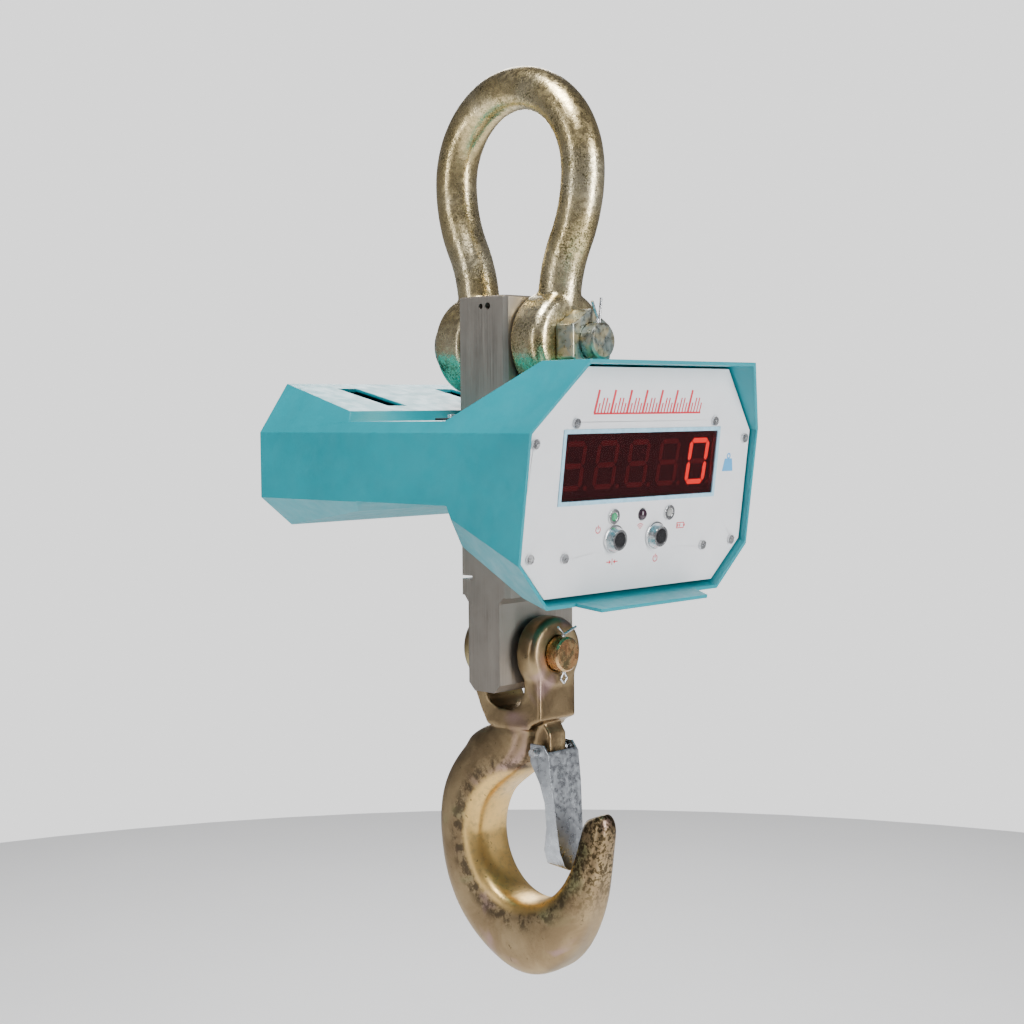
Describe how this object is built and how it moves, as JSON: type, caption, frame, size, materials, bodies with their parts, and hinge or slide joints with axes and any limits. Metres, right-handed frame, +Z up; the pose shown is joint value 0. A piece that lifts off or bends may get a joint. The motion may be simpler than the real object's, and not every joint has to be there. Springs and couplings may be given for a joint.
{
  "type": "crane scale",
  "caption": "Hanging digital crane scale: bow shackle with bolt and nut, steel load cell, powder-coated sheet housing with sloped lit display, and a clevis hook with a sprung safety latch",
  "frame": {"origin": "inside of the shackle's crown, where the crane hook bears", "axes": "+Z up along the load line; the display looks along -Y; +X is to the right of someone facing the display"},
  "size_m": [0.25, 0.313, 0.6794],
  "materials": {
    "shackle_zinc": "yellow passivated zinc over a forged surface, speckled gold and olive",
    "bolt_zinc": "yellow-grey passivated zinc, turned",
    "cell_steel": "satin machined steel",
    "shell_teal": "satin teal powder coat",
    "panel_white": "satin white coated sheet",
    "seal_rubber": "matt black rubber",
    "bright_steel": "bright zinc",
    "frame_blue": "light blue moulded plastic",
    "filter_red": "dark red display filter",
    "digit_red": "seven segment LED digits",
    "board_green": "green solder resist",
    "chip_black": "moulded black plastic",
    "lamp_green": "tinted clear plastic",
    "lamp_clear": "water clear plastic",
    "receiver_dark": "dark infra-red lens",
    "chrome_trim": "polished plating",
    "button_cap": "gloss black plastic",
    "brass_gland": "nickelled brass",
    "cable_black": "black jacket",
    "battery_grey": "dark grey case",
    "tray_steel": "bent zinc sheet",
    "strap_black": "woven strap",
    "spacer_nylon": "natural nylon",
    "hook_zinc": "passivated zinc over a forging, brown gold",
    "pin_copper": "copper tinted passivated zinc",
    "latch_zinc": "bright zinc pressed sheet",
    "spring_steel": "spring wire"
  },
  "bodies": {
    "shackle": {"shackle_bow": "shackle_zinc", "shackle_bolt": "bolt_zinc", "shackle_nut": "bolt_zinc", "shackle_split_pin": "bright_steel"},
    "scale_body": {"battery_pack": "battery_grey", "battery_strap": "strap_black", "battery_tray": "tray_steel", "board_chips": "chip_black", "board_spacers": "spacer_nylon", "bottom_seal": "seal_rubber", "bracket_bolts": "bright_steel", "cell_cable": "cable_black", "cell_gland": "brass_gland", "charge_lamp": "lamp_clear", "charger_socket": "chip_black", "cover_gasket": "seal_rubber", "cover_screws": "bright_steel", "digit_1": "digit_red", "digit_2": "digit_red", "digit_3": "digit_red", "digit_4": "digit_red", "digit_5": "digit_red", "display_board": "board_green", "display_frame": "frame_blue", "display_posts": "spacer_nylon", "display_screws": "bright_steel", "display_window": "filter_red", "front_panel": "panel_white", "front_tab": "shell_teal", "gauge_covers": "cell_steel", "housing_brackets": "tray_steel", "housing_shell": "shell_teal", "lamp_bezels": "chrome_trim", "load_cell": "cell_steel", "main_board": "board_green", "panel_gasket": "seal_rubber", "panel_ring": "tray_steel", "panel_screws": "bright_steel", "power_lamp": "lamp_green", "power_switch": "chrome_trim", "power_switch_nut": "chrome_trim", "rear_cover": "shell_teal", "remote_receiver": "receiver_dark", "roof_screws": "bright_steel", "top_seal": "seal_rubber", "zero_switch": "chrome_trim", "zero_switch_nut": "chrome_trim"},
    "hook": {"hook_forging": "hook_zinc", "hook_pin": "pin_copper", "hook_split_pins": "bright_steel", "latch_pin": "bright_steel"},
    "latch": {"latch_plate": "latch_zinc", "latch_spring": "spring_steel"},
    "zero_button": {"zero_button": "button_cap"},
    "power_button": {"power_button": "button_cap"}
  },
  "joints": [
    {"name": "shackle_swing", "type": "hinge", "parent": "shackle", "child": "scale_body", "pos_m": [0, 0, -0.173], "axis": [0, 1, 0], "range_deg": [-90, 90]},
    {"name": "hook_swing", "type": "hinge", "parent": "scale_body", "child": "hook", "pos_m": [0, 0, -0.402], "axis": [0, 1, 0], "range_deg": [-25, 25]},
    {"name": "latch_pivot", "type": "hinge", "parent": "hook", "child": "latch", "pos_m": [0, -0.03, -0.475], "axis": [1, 0, 0], "range_deg": [0, 42], "stiffness_Nm_per_rad": 0.15, "springref_deg": -28.65, "deforming": ["latch_spring"]},
    {"name": "zero_button_press", "type": "slide", "parent": "scale_body", "child": "zero_button", "axis": [0, 0.9917, 0.1288], "range_m": [0, 0.002], "stiffness_N_per_m": 500, "springref_m": -0.001},
    {"name": "power_button_press", "type": "slide", "parent": "scale_body", "child": "power_button", "axis": [0, 0.9917, 0.1288], "range_m": [0, 0.002], "stiffness_N_per_m": 500, "springref_m": -0.001}
  ]
}
